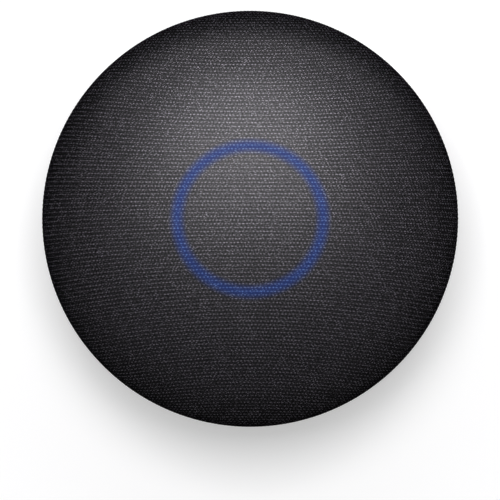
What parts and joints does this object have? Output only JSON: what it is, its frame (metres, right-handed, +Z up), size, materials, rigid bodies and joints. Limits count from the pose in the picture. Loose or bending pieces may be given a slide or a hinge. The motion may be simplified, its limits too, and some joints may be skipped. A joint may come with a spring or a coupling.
{
  "type": "smart speaker",
  "caption": "Puck-shaped smart speaker with a cloth-covered dome, a blue light ring, a moulded base with a power inlet, microphone switch and reset button.",
  "frame": {"origin": "middle of the foot's underside, on the surface that the speaker rests on", "axes": "+Z up through the crown of the cloth dome, +Y towards the rear with the power inlet"},
  "size_m": [0.1, 0.1, 0.04],
  "materials": {
    "cloth": "knitted charcoal cloth",
    "base_plastic": "fine-grained charcoal moulding",
    "inner_plastic": "plain black moulding",
    "diffuser": "milky, lit blue",
    "rubber": "matt",
    "board": "green solder mask",
    "chip": "black epoxy",
    "knob_plastic": "satin grey moulding",
    "steel": "zinc plated",
    "basket_steel": "black coated",
    "ferrite": "ground ferrite",
    "copper": "enamelled copper",
    "cone_paper": "coated pulp",
    "lamp": "lamp body",
    "ribbon": "white flat cable",
    "wire": "sleeved wire",
    "pad": "heat pad",
    "foil": "copper foil on film"
  },
  "bodies": {
    "housing": {"fabric_cover": "cloth", "grille_shell": "inner_plastic", "hem_ring": "inner_plastic", "light_ring": "diffuser", "led_board": "board", "leds": "lamp", "led_board_screws": "steel", "microphones": "steel", "mic_gaskets": "rubber", "speaker_baffle": "inner_plastic", "shell_screws": "steel", "baffle_seal": "rubber", "driver_gasket": "rubber", "driver_basket": "basket_steel", "driver_yoke": "steel", "driver_magnet": "ferrite", "driver_top_plate": "steel", "surround": "rubber", "spider": "cone_paper", "driver_terminals": "inner_plastic", "driver_screws": "steel", "speaker_leads": "wire", "speaker_socket": "lamp", "main_board": "board", "board_screws": "steel", "processor": "chip", "thermal_pad": "pad", "rf_shield": "steel", "amplifier_chip": "chip", "power_inductor": "chip", "capacitors": "chip", "ribbon_cable": "ribbon", "ribbon_sockets": "lamp", "wifi_antennas": "foil", "usb_c_socket": "steel", "mic_switch_body": "inner_plastic", "reset_switch": "inner_plastic", "lower_housing": "base_plastic", "housing_screws": "steel", "foot_pad": "rubber"},
    "mic_knob": {"mic_switch_knob": "knob_plastic"},
    "reset_key": {"reset_button": "knob_plastic"},
    "cone_unit": {"speaker_cone": "cone_paper", "dust_cap": "cone_paper", "voice_coil": "copper"}
  },
  "joints": [
    {"name": "mic_switch_slide", "type": "slide", "parent": "housing", "child": "mic_knob", "axis": [-0.766, -0.6428, 0], "range_m": [0, 0.0024]},
    {"name": "reset_press", "type": "slide", "parent": "housing", "child": "reset_key", "axis": [-0.6428, -0.766, 0], "range_m": [0, 0.0005], "stiffness_N_per_m": 800, "springref_m": -0.0005},
    {"name": "cone_travel", "type": "slide", "parent": "housing", "child": "cone_unit", "axis": [0, 0, 1], "range_m": [-0.0015, 0.0015], "stiffness_N_per_m": 1500, "deforming": ["surround", "spider"]}
  ]
}
